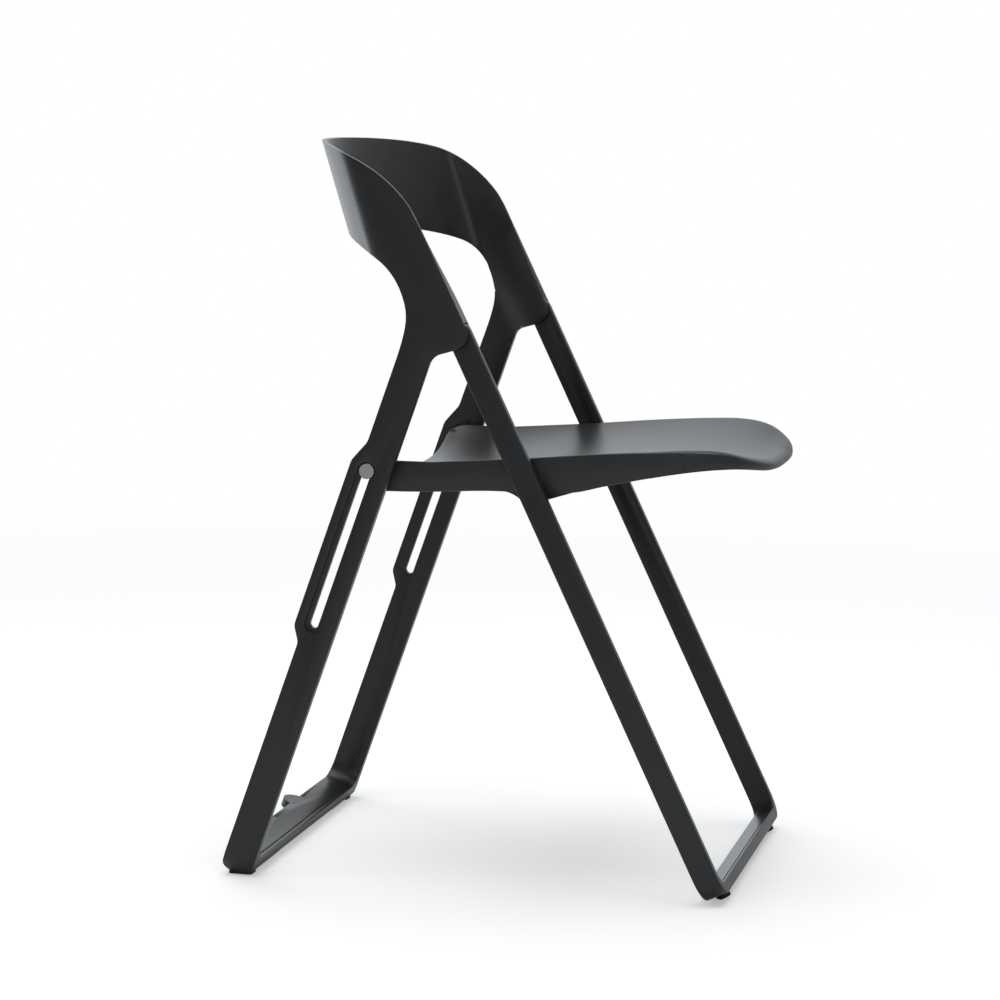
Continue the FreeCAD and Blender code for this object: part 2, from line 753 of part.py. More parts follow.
def build_seat_pivot(name, side):
    eye_in = size("front_half") - size("bar_wall")
    half = size("seat_half")
    gap = size("free_gap")
    running = "sizes.pivot_pin_radius + sizes.running_gap"
    finish(f"seat_pivot_pin_{name}", across_cylinder(f"seat_pivot_pin_{name}_rod",
                                                     "sizes.pivot_pin_radius", "33 mm", PIVOT, side,
                                                     size("front_half") - 4))
    finish(f"seat_pivot_bush_{name}", ring(f"seat_pivot_bush_{name}", "sizes.pivot_bush_radius",
                                           running, PIVOT, side, half, half - 15))
    finish(f"seat_spacer_{name}", ring(f"seat_spacer_{name}", "9 mm", "sizes.pivot_pin_radius",
                                       PIVOT, side, eye_in, half + gap))
    finish(f"pivot_clip_{name}", ring(f"pivot_clip_{name}", "sizes.pivot_bush_radius - 0.3",
                                      "sizes.pivot_pin_radius", PIVOT, side, half - 15.3, half - 16.6))


def build_slider(name, side):
    """Stepped pin whose head runs in the leg's recess and whose shaft runs in the slot."""
    floor = size("half_width") - size("recess_depth")
    leg_inner = size("half_width") - size("rear_leg_wall")
    gap = size("free_gap")
    inner_end = size("seat_half") + 5.2
    head_out = size("half_width") - 0.4
    head = across_cylinder(f"slide_head_{name}", "sizes.slide_head_radius",
                           f"{head_out - floor - gap} mm", PIN, side, head_out)
    doc.recompute()
    bevel = doc.addObject("Part::Chamfer", f"slide_head_bevel_{name}")
    bevel.Base = head
    bevel.Edges = [(2, 0.5, 0.5), (3, 0.5, 0.5)]
    shaft = across_cylinder(f"slide_shaft_{name}", "sizes.slide_pin_radius",
                            f"{head_out - 1 - inner_end} mm", PIN, side, head_out - 1)
    finish(f"slide_pin_{name}", fuse(f"slide_pin_{name}_turned", [bevel, shaft]))
    finish(f"slide_sleeve_{name}", ring(f"slide_sleeve_{name}", "sizes.sleeve_radius",
                                        "sizes.slide_pin_radius", PIN, side, floor - 0.1,
                                        leg_inner + 0.1))
    finish(f"slide_collar_{name}", ring(f"slide_collar_{name}", "sizes.collar_radius",
                                        "sizes.slide_pin_radius", PIN, side, leg_inner - gap,
                                        inner_end))
    finish(f"pin_insert_{name}", ring(f"pin_insert_{name}", "sizes.slide_pin_radius + 1.8",
                                      "sizes.slide_pin_radius + sizes.running_gap", PIN, side,
                                      inner_end - 0.7, size("seat_half") - 12))


def upright(name, radius, low, high, place):
    item = doc.addObject("Part::Cylinder", name)
    item.setExpression("Radius", radius)
    item.Height = high - low
    item.Placement = FreeCAD.Placement(Vector(place.x, place.y, low), FreeCAD.Rotation())
    return item


def build_front_foot(name, side):
    """Short round puck square to the bar's underside, moulded flat where it stands."""
    place = foot_place(side)
    puck = doc.addObject("Part::Cylinder", f"front_foot_{name}_puck")
    puck.setExpression("Radius", "sizes.foot_radius")
    puck.setExpression("Height", "sizes.foot_thick")
    turn = FreeCAD.Rotation(Vector(1, 0, 0), 180 - size("front_lean"))
    puck.Placement = FreeCAD.Placement(place, turn)
    doc.recompute()
    soft = doc.addObject("Part::Fillet", f"front_foot_{name}_soft")
    soft.Base = puck
    soft.Edges = [(3, 0.9, 0.9)]
    floor = doc.addObject("Part::Box", f"front_foot_{name}_floor")
    floor.Length = 60
    floor.Width = 60
    floor.Height = 30
    floor.Placement = FreeCAD.Placement(Vector(place.x - 30, place.y - 30, -30), FreeCAD.Rotation())
    tools = fuse(f"front_foot_{name}_tools", [
        floor, down_bar(f"front_foot_{name}_socket", 3.6, 3.4, 30, side),
        down_bar(f"front_foot_{name}_shank", 1.9, -1, 30, side)])
    finish(f"front_foot_{name}", cut(f"front_foot_{name}_cut", soft, tools))


def down_bar(name, radius, start, stop, side):
    """Round bar square to the front cross bar, between two depths below its underside."""
    item = doc.addObject("Part::Cylinder", name)
    item.Radius = radius
    item.Height = stop - start
    turn = FreeCAD.Rotation(Vector(1, 0, 0), 180 - size("front_lean"))
    item.Placement = FreeCAD.Placement(foot_place(side) + FRONT_DOWN * start, turn)
    return item


def foot_place(side):
    return on_front(size("front_length"), 0, side * size("foot_inset"))


def build_foot_screws():
    members = []
    for name, side in SIDES:
        members.append(fuse(f"foot_screw_{name}", [
            down_bar(f"foot_screw_{name}_head", 3.5, 3.4, 5.4, side),
            down_bar(f"foot_screw_{name}_shank", 1.9, -8, 3.4, side)]))
    group = doc.addObject("Part::Compound", "foot_screws_group")
    group.Links = members
    finish("foot_screws", group)


def pad_place(side):
    middle = (size("pad_inner") + size("pad_outer")) / 2
    toe = on_rear(623.7, -size("rear_leg_front"))
    return Vector(side * middle, toe.y + 14.5, 0)


def build_rear_pad(name, side):
    place = pad_place(side)
    sole = doc.addObject("Part::Box", f"rear_pad_{name}_sole")
    sole.setExpression("Length", "sizes.pad_outer - sizes.pad_inner")
    sole.setExpression("Width", "sizes.pad_length")
    sole.setExpression("Height", "sizes.rear_sole")
    sole.Placement = FreeCAD.Placement(Vector(place.x - (size("pad_outer") - size("pad_inner")) / 2,
                                              place.y - size("pad_length") / 2, 0),
                                       FreeCAD.Rotation())
    doc.recompute()
    soft = doc.addObject("Part::Fillet", f"rear_pad_{name}_soft")
    soft.Base = sole
    soft.Edges = [(1, 4, 4), (3, 4, 4), (5, 4, 4), (7, 4, 4)]
    plug = upright(f"rear_pad_{name}_plug", "3 mm", 1, 9, place)
    finish(f"rear_pad_{name}", fuse(f"rear_pad_{name}_moulded", [soft, plug]))


def bumper_lobe(name, side):
    """Half-moon lobe standing out behind the cross bar, its flat let into the bar's edge."""
    radius = size("bumper_radius")
    centre = -size("rear_leg_back") - size("bumper_reach") + radius
    turn = FreeCAD.Rotation(Vector(1, 0, 0), 180 + size("rear_lean"))
    disc = doc.addObject("Part::Cylinder", f"{name}_disc")
    disc.setExpression("Radius", "sizes.bumper_radius")
    disc.setExpression("Height", "sizes.rear_bar_wall - 1.5")
    disc.Placement = FreeCAD.Placement(
        on_rear(size("rear_bar_top"), centre, side * size("bumper_place")), turn)
    rest = doc.addObject("Part::Box", f"{name}_rest")
    rest.Length = 2 * radius + 10
    rest.Width = 2 * radius
    rest.Height = 30
    corner = on_rear(size("rear_bar_top") - 5, 6 - size("rear_leg_back"),
                     side * size("bumper_place") - radius - 5)
    rest.Placement = FreeCAD.Placement(corner, turn)
    return cut(f"{name}_half", disc, rest)


build_rear_frame()
build_front_frame()
build_seat()
for name, side in SIDES:
    build_hinge(name, side)
    build_seat_pivot(name, side)
    build_slider(name, side)
    build_front_foot(name, side)
    build_rear_pad(name, side)
    finish(f"stack_bumper_{name}", bumper_lobe(f"stack_bumper_{name}", side))
build_foot_screws()

doc.recompute()
for item in doc.Objects:
    if "Invalid" in item.State or "Error" in item.State:
        raise RuntimeError(f"{item.Name} failed to rebuild: {item.State}")
for label, item in finished.items():
    if item.Shape.isNull() or not item.Shape.isValid():
        raise RuntimeError(f"{label} is not a valid shape")
for label, item in finished.items():
    print(label, len(item.Shape.Solids), round(item.Shape.Volume))
    item.Shape.exportStep(f"parts/{label}.step")
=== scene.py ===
"""Looks of the folding chair: camera, studio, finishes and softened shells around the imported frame."""

import json
import math

import bmesh
import bpy
from mathutils import Matrix, Vector


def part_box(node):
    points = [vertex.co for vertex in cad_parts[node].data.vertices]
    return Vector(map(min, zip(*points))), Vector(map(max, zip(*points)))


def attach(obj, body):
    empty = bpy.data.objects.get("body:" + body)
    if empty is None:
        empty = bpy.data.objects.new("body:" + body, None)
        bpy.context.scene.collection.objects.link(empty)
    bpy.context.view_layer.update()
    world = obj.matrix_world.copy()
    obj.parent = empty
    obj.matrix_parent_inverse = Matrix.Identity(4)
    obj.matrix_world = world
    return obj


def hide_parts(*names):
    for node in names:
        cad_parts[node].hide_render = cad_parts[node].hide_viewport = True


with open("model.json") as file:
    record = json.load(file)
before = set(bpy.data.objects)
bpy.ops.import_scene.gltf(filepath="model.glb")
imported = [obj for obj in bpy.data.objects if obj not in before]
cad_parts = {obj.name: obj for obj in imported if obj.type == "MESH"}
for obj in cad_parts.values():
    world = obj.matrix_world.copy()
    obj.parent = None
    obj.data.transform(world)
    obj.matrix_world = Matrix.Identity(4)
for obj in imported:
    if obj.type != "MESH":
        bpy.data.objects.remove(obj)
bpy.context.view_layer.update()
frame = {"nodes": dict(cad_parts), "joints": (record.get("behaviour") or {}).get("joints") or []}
nodes = frame["nodes"]
SIDES = ("right", "left")
FOLD = next(joint for joint in frame["joints"] if joint["name"] == "fold")
HINGE = Vector(FOLD["pos_m"])


# ------------------------------------------------------------------- finishes
def node_material(name):
    """Empty node material with its output and a Principled shader."""
    material = bpy.data.materials.new(name)
    material.use_nodes = True
    tree = material.node_tree
    tree.nodes.clear()
    output = tree.nodes.new("ShaderNodeOutputMaterial")
    shader = tree.nodes.new("ShaderNodeBsdfPrincipled")
    tree.links.new(shader.outputs["BSDF"], output.inputs["Surface"])
    return material, tree, shader


def noise(tree, scale, detail=3.0, stretch=(1.0, 1.0, 1.0)):
    """Object-space noise, stretched for brushed or drawn grain."""
    place = tree.nodes.new("ShaderNodeTexCoord")
    mapping = tree.nodes.new("ShaderNodeMapping")
    mapping.inputs["Scale"].default_value = stretch
    texture = tree.nodes.new("ShaderNodeTexNoise")
    texture.inputs["Scale"].default_value = scale
    texture.inputs["Detail"].default_value = detail
    tree.links.new(place.outputs["Object"], mapping.inputs["Vector"])
    tree.links.new(mapping.outputs["Vector"], texture.inputs["Vector"])
    return texture.outputs["Fac"]


def spread(tree, value, low, high):
    """Map a 0.3 to 0.7 noise value onto a range."""
    ranged = tree.nodes.new("ShaderNodeMapRange")
    ranged.inputs["From Min"].default_value = 0.3
    ranged.inputs["From Max"].default_value = 0.7
    ranged.inputs["To Min"].default_value = low
    ranged.inputs["To Max"].default_value = high
    tree.links.new(value, ranged.inputs["Value"])
    return ranged.outputs["Result"]


def two_tones(tree, value, dark, light):
    """Blend from a dark to a light colour as a noise value rises."""
    ramp = tree.nodes.new("ShaderNodeValToRGB")
    ramp.color_ramp.elements[0].position = 0.35
    ramp.color_ramp.elements[0].color = (*dark, 1.0)
    ramp.color_ramp.elements[1].position = 0.65
    ramp.color_ramp.elements[1].color = (*light, 1.0)
    tree.links.new(value, ramp.inputs["Fac"])
    return ramp.outputs["Color"]


def relief(tree, shader, value, height, strength=1.0):
    """Fine bump, in metres, driven by a 0 to 1 value."""
    bump = tree.nodes.new("ShaderNodeBump")
    bump.inputs["Distance"].default_value = height
    bump.inputs["Strength"].default_value = strength
    tree.links.new(value, bump.inputs["Height"])
    tree.links.new(bump.outputs["Normal"], shader.inputs["Normal"])


MOTTLE_SCALE = 14.0


def finish_material(name, tone, contrast, roughness, metallic=0.0, grain=900.0,
                    grain_height=0.00002, stretch=(1.0, 1.0, 1.0)):
    """Surface with mottled tone and roughness and a fine grain in relief."""
    material, tree, shader = node_material(name)
    broad = noise(tree, MOTTLE_SCALE, 4.0)
    fine = noise(tree, grain, 2.0, stretch)
    dark = tuple(channel * (1.0 - contrast) for channel in tone)
    light = tuple(channel * (1.0 + contrast) for channel in tone)
    tree.links.new(two_tones(tree, broad, dark, light), shader.inputs["Base Color"])
    tree.links.new(spread(tree, fine, roughness[0], roughness[1]), shader.inputs["Roughness"])
    shader.inputs["Metallic"].default_value = metallic
    relief(tree, shader, fine, grain_height)
    return material


def turned_material(name, tone, centre, pitch):
    """Lathe-turned metal: fine rings about an axis along X, with their spun sheen."""
    material = finish_material(name, tone, 0.05, (0.22, 0.34), metallic=1.0, grain=1500.0)
    tree = material.node_tree
    shader = next(node for node in tree.nodes if node.type == "BSDF_PRINCIPLED")
    place = tree.nodes.new("ShaderNodeTexCoord")
    offset = tree.nodes.new("ShaderNodeVectorMath")
    offset.operation = "SUBTRACT"
    offset.inputs[1].default_value = (0.0, centre.y, centre.z)
    tree.links.new(place.outputs["Object"], offset.inputs[0])
    rings = tree.nodes.new("ShaderNodeTexWave")
    rings.wave_type = "RINGS"
    rings.rings_direction = "X"
    rings.inputs["Scale"].default_value = 2.0 * math.pi / (20.0 * pitch)
    tree.links.new(offset.outputs["Vector"], rings.inputs["Vector"])
    relief(tree, shader, rings.outputs["Fac"], 0.00003, 0.6)
    around = tree.nodes.new("ShaderNodeVectorMath")
    around.operation = "CROSS_PRODUCT"
    around.inputs[0].default_value = (1.0, 0.0, 0.0)
    tree.links.new(offset.outputs["Vector"], around.inputs[1])
    tree.links.new(around.outputs["Vector"], shader.inputs["Tangent"])
    shader.inputs["Anisotropic"].default_value = 0.75
    return material


def middle_of(node):
    """Centre of a node's box."""
    low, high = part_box(node)
    return (low + high) / 2


FRAME_COAT = finish_material("frame_coat", (0.0125, 0.0140, 0.0155), 0.06, (0.30, 0.38))
SEAT_PLASTIC = finish_material("seat_plastic", (0.0160, 0.0180, 0.0205), 0.05, (0.34, 0.42))
STEEL = finish_material("turned_steel", (0.60, 0.59, 0.57), 0.04, (0.24, 0.34), metallic=1.0,
                        grain=1500.0, stretch=(0.1, 1.0, 1.0))
TURNED = turned_material("turned_pin_head", (0.52, 0.50, 0.47), middle_of("slide_pin_right"), 0.0006)
BEARING = finish_material("bearing_plastic", (0.012, 0.012, 0.013), 0.08, (0.42, 0.52))
BRASS = finish_material("brass", (0.60, 0.44, 0.20), 0.06, (0.25, 0.36), metallic=1.0)
RUBBER = finish_material("rubber", (0.010, 0.010, 0.010), 0.12, (0.62, 0.78), grain=600.0,
                         grain_height=0.00005)

LOOKS = {
    "rear_frame": FRAME_COAT, "front_frame": FRAME_COAT, "seat_shell": SEAT_PLASTIC,
    "hinge_pin": STEEL, "seat_pivot_pin": STEEL, "pivot_clip": STEEL, "slide_pin": TURNED,
    "foot_screws": STEEL, "pin_insert": BRASS, "front_foot": RUBBER, "rear_pad": RUBBER,
    "stack_bumper": FRAME_COAT, "hinge_washers": BEARING, "hinge_bush": BEARING,
    "seat_spacer": BEARING, "seat_pivot_bush": BEARING, "slide_sleeve": BEARING,
    "slide_collar": BEARING,
}


def kind_of(node):
    """Node name without its side."""
    for side in SIDES:
        if node.endswith(f"_{side}"):
            return node[: -len(side) - 1]
    return node


def wear(obj, material):
    """Give every slot of an object one material."""
    if not obj.data.materials:
        obj.data.materials.append(material)
    for slot in obj.material_slots:
        slot.material = material


for node_name, node_object in nodes.items():
    wear(node_object, LOOKS[kind_of(node_name)])


# ----------------------------------------------------------------------- seat
SEAT_LOW, SEAT_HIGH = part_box("seat_shell")
SEAT_HALF = SEAT_HIGH.x
SEAT_BACK = HINGE.y - SEAT_HIGH.y
SEAT_FRONT = HINGE.y - SEAT_LOW.y
SEAT_BOW = 0.1625
SQUARENESS = 3.3
REAR_CORNER = 0.020
SEAT_WALL = 0.0046
CREASE_BOW = 0.1545
CREASE_SQUARENESS = 2.97
CREASE_START = math.radians(38)
CREASE_INSET = 0.0012
CREASE_FALL = (0.0012, 0.0056)
SKIRT_LEAST = 0.0030
CEILING_INSET = 0.009
SEAT_MIDDLE = Vector((0.0, 0.09))
SHRINKS = (0.04, 0.15, 0.3, 0.45, 0.58, 0.68, 0.76, 0.83, 0.88, 0.92, 0.95, 0.975)
EDGE_ROUND = 0.0011
PIVOT_POINT = Vector(next(j for j in frame["joints"] if j["name"] == "seat_tilt")["pos_m"])
LUG_RADIUS = 0.0145
NOSE_DEPTH = 0.055
BOSS_RADIUS = 0.0060
BOSS_WALL = 0.00095


def smooth_step(value, low, high):
    """0 below low, 1 above high, with an even S curve between."""
    share = min(1.0, max(0.0, (value - low) / (high - low)))
    return share * share * (3.0 - 2.0 * share)


def through(points, value):
    """Smooth curve through rising (position, height) points."""
    if value <= points[0][0]:
        return points[0][1]
    if value >= points[-1][0]:
        return points[-1][1]
    index = next(i for i in range(len(points) - 1) if value <= points[i + 1][0])
    slopes = []
    for spot in (index, index + 1):
        before = points[max(spot - 1, 0)]
        after = points[min(spot + 1, len(points) - 1)]
        slopes.append((after[1] - before[1]) / (after[0] - before[0]))
    (start, low), (stop, high) = points[index], points[index + 1]
    span = stop - start
    share = (value - start) / span
    square = share * share
    cube = square * share
    return ((2 * cube - 3 * square + 1) * low + (cube - 2 * square + share) * span * slopes[0]
            + (3 * square - 2 * cube) * high + (cube - square) * span * slopes[1])


RIM = [(-0.030, 0.4532), (0.062, 0.4606), (0.142, 0.4684), (0.202, 0.4730), (0.242, 0.4752),
       (0.272, 0.4732), (0.297, 0.4636), (0.311, 0.4555)]


HOLLOW_LOW = 0.4195
HOLLOW_RISE = 0.0385
NOSE_DROOP = 0.003
TRAY_POWER = 4.2
OPEN_POWER = 2.0


def rim_height(forward):
    """Height of the crease round the sitting surface."""
    return through(RIM, forward)


def hollow_height(forward):
    """Height of the sitting surface on the centre line."""
    rise = HOLLOW_RISE * smooth_step(forward, -0.188, 0.252)
    droop = NOSE_DROOP * smooth_step(forward, 0.250, 0.330)
    return HOLLOW_LOW + rise - droop


def edge_reach(forward):
    """Half width of the crease that bounds the sitting surface."""
    depth = max(0.0, (forward - SEAT_FRONT + SEAT_BOW) / CREASE_BOW)
    left = max(0.05, 1.0 - depth ** CREASE_SQUARENESS)
    return SEAT_HALF * left ** (1.0 / CREASE_SQUARENESS)


def seat_top(x, forward):
    """Height of the sitting surface: a tray at the back that opens out in front."""
    power = TRAY_POWER - (TRAY_POWER - OPEN_POWER) * smooth_step(forward, -0.098, 0.212)
    share = min(1.0, abs(x) / edge_reach(forward)) ** power
    hollow = hollow_height(forward)
    return hollow + (rim_height(forward) - hollow) * share


SKIRT_EDGE = [(-0.109, 0.4270), (-0.093, 0.4205), (-0.077, 0.4196), (-0.031, 0.4210),
              (0.029, 0.4246), (0.080, 0.4250), (0.122, 0.4270), (0.155, 0.4350),
              (0.202, 0.4454), (0.247, 0.4530), (0.280, 0.4548), (0.300, 0.4525),
              (0.318, 0.4462)]


def skirt_height(forward):
    """Lower edge of the skirt, with the round lug for the seat's pivot hanging below."""
    edge = through(SKIRT_EDGE, forward)
    away = abs(forward - (HINGE.y - PIVOT_POINT.y))
    if away < LUG_RADIUS:
        edge = min(edge, PIVOT_POINT.z - math.sqrt(LUG_RADIUS ** 2 - away ** 2))
    flank = smooth_step(away, LUG_RADIUS * 1.6, LUG_RADIUS * 0.8)
    return edge - 0.0015 * flank


def seat_outline():
    """Plan points (x, forward), crease points inside them, and outward normals."""
    side_steps, bow_steps, corner_steps, back_steps = 84, 128, 8, 26
    creases = {}
    start = SEAT_FRONT - SEAT_BOW
    points = []
    for step in range(side_steps):
        share = step / side_steps
        points.append((-SEAT_HALF, SEAT_BACK + REAR_CORNER + share * (start - SEAT_BACK - REAR_CORNER)))
    power = 2.0 / SQUARENESS
    tight = 2.0 / CREASE_SQUARENESS
    for step in range(bow_steps):
        angle = math.pi * step / bow_steps
        side = math.copysign(1.0, math.cos(angle))
        wide = abs(math.cos(angle))
        deep = abs(math.sin(angle))
        creases[len(points)] = Vector((-(SEAT_HALF - CREASE_INSET) * side * wide ** tight,
                                       start + CREASE_BOW * deep ** tight))
        points.append((-SEAT_HALF * side * wide ** power, start + SEAT_BOW * deep ** power))
    for step in range(side_steps):
        share = 1.0 - step / side_steps
        points.append((SEAT_HALF, SEAT_BACK + REAR_CORNER + share * (start - SEAT_BACK - REAR_CORNER)))
    for step in range(corner_steps):
        angle = math.pi / 2 * step / corner_steps
        points.append((SEAT_HALF - REAR_CORNER + REAR_CORNER * math.cos(angle),
                       SEAT_BACK + REAR_CORNER - REAR_CORNER * math.sin(angle)))
    for step in range(back_steps):
        share = 1.0 - 2.0 * step / back_steps
        points.append(((SEAT_HALF - REAR_CORNER) * share, SEAT_BACK))
    for step in range(corner_steps):
        angle = math.pi / 2 * (1.0 - step / corner_steps)
        points.append((-SEAT_HALF + REAR_CORNER - REAR_CORNER * math.cos(angle),
                       SEAT_BACK + REAR_CORNER - REAR_CORNER * math.sin(angle)))
    normals = []
    count = len(points)
    for index in range(count):
        before = Vector(points[index - 1])
        after = Vector(points[(index + 1) % count])
        along = (after - before).normalized()
        normals.append(Vector((-along.y, along.x)))
    points = [Vector(point) for point in points]
    inside = [creases.get(index, point - normal * CREASE_INSET)
              for index, (point, normal) in enumerate(zip(points, normals))]
    return points, inside, normals


def seat_rings(points, creases, normals):
    """Closed rings of (x, forward, height) from the middle of the top round to the underside."""
    falls = [CREASE_FALL[0] + CREASE_FALL[1] * smooth_step(point.y, 0.215, 0.300)
             for point in points]
    tops = [seat_top(crease.x, crease.y) for crease in creases]
    lows = [min(skirt_height(point.y), top - fall - SKIRT_LEAST)
            for point, top, fall in zip(points, tops, falls)]

    def inner_ring(shrink, drop):
        ring = []
        for crease in creases:
            spot = SEAT_MIDDLE + (crease - SEAT_MIDDLE) * shrink
            ring.append((spot.x, spot.y, seat_top(spot.x, spot.y) - drop))
        return ring

    def wall_ring(inset, heights):
        return [((point - normal * inset).x, (point - normal * inset).y, height)
                for point, normal, height in zip(points, normals, heights)]

    rings = [inner_ring(shrink, 0.0) for shrink in SHRINKS]
    rings.append([(crease.x, crease.y, top) for crease, top in zip(creases, tops)])
    arc_steps = 7
    for step in range(1, arc_steps + 1):
        angle = CREASE_START + (math.pi / 2 - CREASE_START) * step / arc_steps
        out = (math.sin(angle) - math.sin(CREASE_START)) / (1 - math.sin(CREASE_START))
        fall = 1 - math.cos(angle) / math.cos(CREASE_START)
        ring = []
        for point, crease, drop, top in zip(points, creases, falls, tops):
            spot = crease.lerp(point, out)
            ring.append((spot.x, spot.y, top - drop * fall))
        rings.append(ring)
    rings.append(wall_ring(0.0, [low + EDGE_ROUND for low in lows]))
    rings.append(wall_ring(EDGE_ROUND * 0.3, [low + EDGE_ROUND * 0.3 for low in lows]))
    rings.append(wall_ring(EDGE_ROUND, lows))
    rings.append(wall_ring(SEAT_WALL - EDGE_ROUND * 0.5, lows))
    rings.append(wall_ring(SEAT_WALL, [low + EDGE_ROUND * 0.5 for low in lows]))
    ceilings = []
    for point, normal, low in zip(points, normals, lows):
        spot = point - normal * CEILING_INSET
        ceilings.append(max(seat_top(spot.x, spot.y) - SEAT_WALL, low + EDGE_ROUND))
    rings.append(wall_ring(CEILING_INSET, ceilings))
    for shrink in reversed(SHRINKS[:-2]):
        rings.append(inner_ring(shrink, SEAT_WALL))
    return rings


SHARP_ANGLE = math.radians(30)


def mesh_object(name, shape, material, body):
    """Finished object from an edit mesh, riding on a body of the frame."""
    mesh = bpy.data.meshes.new(name)
    bmesh.ops.recalc_face_normals(shape, faces=shape.faces)
    shape.to_mesh(mesh)
    shape.free()
    mesh.shade_smooth()
    mesh.set_sharp_from_angle(angle=SHARP_ANGLE)
    piece = bpy.data.objects.new(name, mesh)
    bpy.context.scene.collection.objects.link(piece)
    wear(piece, material)
    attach(piece, body)
    return piece


def build_seat():
    """Skin, rounded nose and skirt as one closed moulding, over the ribbed underside."""
    points, creases, normals = seat_outline()
    shape = bmesh.new()
    rows = []
    for ring in seat_rings(points, creases, normals):
        rows.append([shape.verts.new((x, HINGE.y - forward, height)) for x, forward, height in ring])
    count = len(points)
    for upper, lower in zip(rows, rows[1:]):
        for index in range(count):
            following = (index + 1) % count
            shape.faces.new((upper[index], upper[following], lower[following], lower[index]))
    shape.faces.new(rows[0])
    shape.faces.new(rows[-1])
    moulding = mesh_object("seat_moulding", shape, SEAT_PLASTIC, "seat")
    under = bmesh.new()
    under.from_mesh(nodes["seat_shell"].data)
    skin = []
    for vertex in under.verts:
        x, y, z = vertex.co
        forward = HINGE.y - y
        on_top = z > seat_top(x, forward) - SEAT_WALL * 0.6
        on_side = abs(x) > SEAT_HALF - 0.001 or forward < SEAT_BACK + 0.001
        if on_top or on_side or forward > SEAT_FRONT - NOSE_DEPTH:
            skin.append(vertex)
    bmesh.ops.delete(under, geom=skin, context="VERTS")
    ribs = mesh_object("seat_underside", under, SEAT_PLASTIC, "seat")
    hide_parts("seat_shell")


def build_boss(side, sign):
    """Thin plastic cup of the seat's moulding round the insert in its rear corner."""
    low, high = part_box(f"pin_insert_{side}")
    axis = (low + high) / 2
    outer = max(abs(low.x), abs(high.x))
    inner = min(abs(low.x), abs(high.x))
    bore = BOSS_RADIUS - BOSS_WALL
    profile = [(inner - 0.0014, 0.0030), (inner - 0.0012, 0.0045), (inner - 0.0007, 0.0054),
               (inner, BOSS_RADIUS), (outer - 0.0006, BOSS_RADIUS),
               (outer - 0.0003, BOSS_RADIUS - 0.0003), (outer - 0.0003, bore),
               (inner - 0.0002, bore), (inner - 0.0002, 0.0030)]
    steps = 48
    shape = bmesh.new()
    rows = []
    for across, radius in profile:
        row = []
        for step in range(steps):
            angle = 2.0 * math.pi * step / steps
            row.append(shape.verts.new((sign * across, axis.y + radius * math.cos(angle),
                                        axis.z + radius * math.sin(angle))))
        rows.append(row)
    for first, second in zip(rows, rows[1:]):
        for index in range(steps):
            following = (index + 1) % steps
            shape.faces.new((first[index], first[following], second[following], second[index]))
    shape.faces.new(rows[0])
    shape.faces.new(rows[-1])
    piece = mesh_object(f"seat_boss_{side}", shape, SEAT_PLASTIC, "seat")


build_seat()
for side, sign in zip(SIDES, (-1.0, 1.0)):
    build_boss(side, sign)


# --------------------------------------------------------------------- frames
MERGE_DISTANCE = 0.00002
FLAT_ANGLE = math.radians(0.05)
HARD_ANGLE = math.radians(35)
SHORTEST_EDGE = 0.0001
EDGE_SOFTENING = 0.0008


def soften(node):
    """Copy of a cast frame with its hard edges rounded."""
    shape = bmesh.new()
    shape.from_mesh(nodes[node].data)
    bmesh.ops.remove_doubles(shape, verts=shape.verts, dist=MERGE_DISTANCE)
    bmesh.ops.dissolve_limit(shape, angle_limit=FLAT_ANGLE, verts=shape.verts,
                             edges=shape.edges, delimit={"NORMAL"})
    hard = [edge for edge in shape.edges
            if edge.is_manifold and edge.calc_face_angle(0.0) > HARD_ANGLE
            and edge.calc_length() > SHORTEST_EDGE]
    bmesh.ops.bevel(shape, geom=hard, offset=EDGE_SOFTENING, segments=2, profile=0.5,
                    affect="EDGES", clamp_overlap=True, loop_slide=True)
    bmesh.ops.triangulate(shape, faces=[face for face in shape.faces if len(face.verts) > 4])
    piece = mesh_object(f"{node}_softened", shape, FRAME_COAT, node)
    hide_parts(node)


soften("front_frame")
soften("rear_frame")


# --------------------------------------------------------------------- camera
CAMERA_TURN = 0.20953
CAMERA_RISE = 0.12195
CAMERA_ROLL = 0.02113
CAMERA_DISTANCE = 3.8331
CAMERA_LIFT = 0.01102
LENS_MM = 124.72
SENSOR_MM = 36.0
AIM = Vector((0.0, HINGE.y - 0.002, 0.380))


def build_camera():
    """Long-lens camera in front of the chair's right side, a little above the seat."""
    toward = Vector((-math.cos(CAMERA_TURN), -math.sin(CAMERA_TURN), 0.0))
    back = toward * math.cos(CAMERA_RISE) + Vector((0, 0, math.sin(CAMERA_RISE)))
    level = Vector((math.sin(CAMERA_TURN), -math.cos(CAMERA_TURN), 0.0))
    upward = back.cross(level)
    right = level * math.cos(CAMERA_ROLL) + upward * math.sin(CAMERA_ROLL)
    up = upward * math.cos(CAMERA_ROLL) - level * math.sin(CAMERA_ROLL)
    data = bpy.data.cameras.new("camera")
    data.lens = LENS_MM
    data.sensor_width = SENSOR_MM
    data.clip_start = 0.05
    data.clip_end = 200.0
    camera = bpy.data.objects.new("camera", data)
    bpy.context.scene.collection.objects.link(camera)
    turn = Matrix((right, up, back)).transposed().to_4x4()
    place = AIM + up * CAMERA_LIFT + back * CAMERA_DISTANCE
    camera.matrix_world = Matrix.Translation(place) @ turn
    bpy.context.scene.camera = camera


build_camera()


# --------------------------------------------------------------------- studio
FLOOR_RADIUS = 9.0
FLOOR_GAP = 0.0004
FLOOR_FADE = (1.3, 3.2)
FLOOR_LIFT = 0.36
BRIGHT_SIDE = (math.cos(math.radians(35)), math.sin(math.radians(35)), 0.0)
GLOW = (0.34, 1.35)


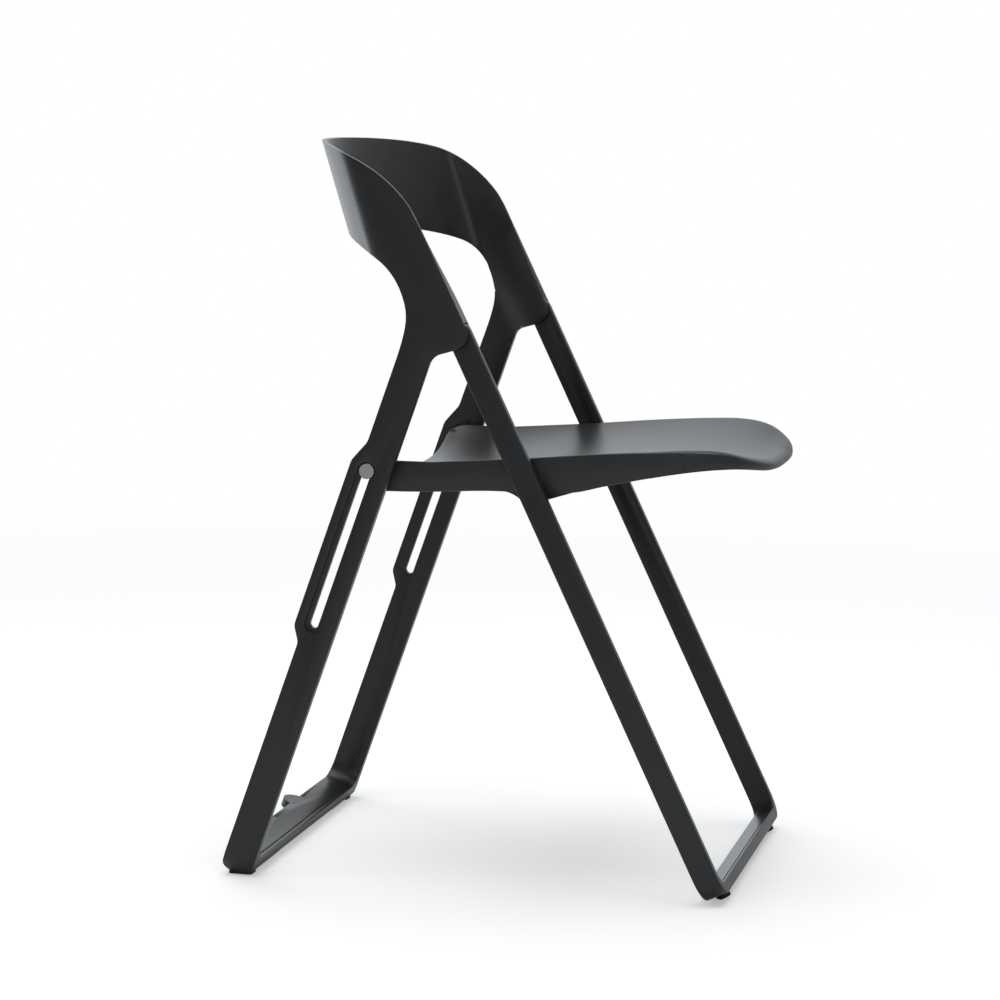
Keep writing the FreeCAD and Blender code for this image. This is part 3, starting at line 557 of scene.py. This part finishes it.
def build_floor():
    """Pale floor disc that fades into the white surround."""
    mesh = bpy.data.meshes.new("floor")
    shape = bmesh.new()
    bmesh.ops.create_circle(shape, cap_ends=True, radius=FLOOR_RADIUS, segments=96)
    shape.to_mesh(mesh)
    shape.free()
    floor = bpy.data.objects.new("floor", mesh)
    bpy.context.scene.collection.objects.link(floor)
    floor.location.z = -FLOOR_GAP
    material, tree, shader = node_material("floor")
    place = tree.nodes.new("ShaderNodeTexCoord")
    length = tree.nodes.new("ShaderNodeVectorMath")
    length.operation = "LENGTH"
    tree.links.new(place.outputs["Object"], length.inputs[0])
    fade = tree.nodes.new("ShaderNodeMapRange")
    fade.interpolation_type = "SMOOTHSTEP"
    fade.inputs["From Min"].default_value = FLOOR_FADE[0]
    fade.inputs["From Max"].default_value = FLOOR_FADE[1]
    fade.inputs["To Min"].default_value = 1.0
    fade.inputs["To Max"].default_value = 0.0
    tree.links.new(length.outputs["Value"], fade.inputs["Value"])
    tree.links.new(fade.outputs["Result"], shader.inputs["Alpha"])
    tree.links.new(two_tones(tree, noise(tree, 3.0), (0.86, 0.86, 0.86), (0.88, 0.88, 0.88)),
                   shader.inputs["Base Color"])
    shader.inputs["Roughness"].default_value = 0.9
    shader.inputs["Specular IOR Level"].default_value = 0.1
    shader.inputs["Emission Color"].default_value = (1.0, 1.0, 1.0, 1.0)
    lift = tree.nodes.new("ShaderNodeMath")
    lift.operation = "MULTIPLY"
    lift.inputs[1].default_value = FLOOR_LIFT
    path = tree.nodes.new("ShaderNodeLightPath")
    tree.links.new(path.outputs["Is Camera Ray"], lift.inputs[0])
    tree.links.new(lift.outputs["Value"], shader.inputs["Emission Strength"])
    wear(floor, material)


def area_light(name, place, aim, width, power):
    """Square softbox that the camera doesn't see."""
    data = bpy.data.lights.new(name, "AREA")
    data.shape = "SQUARE"
    data.size = width
    data.energy = power
    light = bpy.data.objects.new(name, data)
    bpy.context.scene.collection.objects.link(light)
    light.location = place
    direction = Vector(aim) - Vector(place)
    light.rotation_euler = direction.to_track_quat("-Z", "Y").to_euler()
    light.visible_camera = False


def build_surround():
    """White behind the object; a dimmer glow for what it lights, stronger on one side."""
    world = bpy.data.worlds.new("surround")
    bpy.context.scene.world = world
    world.use_nodes = True
    tree = world.node_tree
    tree.nodes.clear()
    output = tree.nodes.new("ShaderNodeOutputWorld")
    seen = tree.nodes.new("ShaderNodeBackground")
    seen.inputs["Color"].default_value = (1.0, 1.0, 1.0, 1.0)
    seen.inputs["Strength"].default_value = 1.0
    glow = tree.nodes.new("ShaderNodeBackground")
    glow.inputs["Color"].default_value = (0.93, 0.97, 1.0, 1.0)
    around = tree.nodes.new("ShaderNodeTexCoord")
    toward = tree.nodes.new("ShaderNodeVectorMath")
    toward.operation = "DOT_PRODUCT"
    toward.inputs[1].default_value = BRIGHT_SIDE
    tree.links.new(around.outputs["Generated"], toward.inputs[0])
    ranged = tree.nodes.new("ShaderNodeMapRange")
    ranged.interpolation_type = "SMOOTHSTEP"
    ranged.inputs["From Min"].default_value = 0.55
    ranged.inputs["From Max"].default_value = 0.95
    ranged.inputs["To Min"].default_value = GLOW[0]
    ranged.inputs["To Max"].default_value = GLOW[1]
    tree.links.new(toward.outputs["Value"], ranged.inputs["Value"])
    tree.links.new(ranged.outputs["Result"], glow.inputs["Strength"])
    path = tree.nodes.new("ShaderNodeLightPath")
    choose = tree.nodes.new("ShaderNodeMixShader")
    tree.links.new(path.outputs["Is Camera Ray"], choose.inputs["Fac"])
    tree.links.new(glow.outputs["Background"], choose.inputs[1])
    tree.links.new(seen.outputs["Background"], choose.inputs[2])
    tree.links.new(choose.outputs["Shader"], output.inputs["Surface"])


build_floor()
build_surround()
bpy.context.scene.view_settings.view_transform = "Standard"
area_light("overhead", (0.2, 0.0, 3.0), (0.0, 0.0, 0.0), 3.0, 52.0)
area_light("camera_side", (-3.4, -1.6, 1.7), (0.0, 0.0, 0.45), 1.6, 9.0)
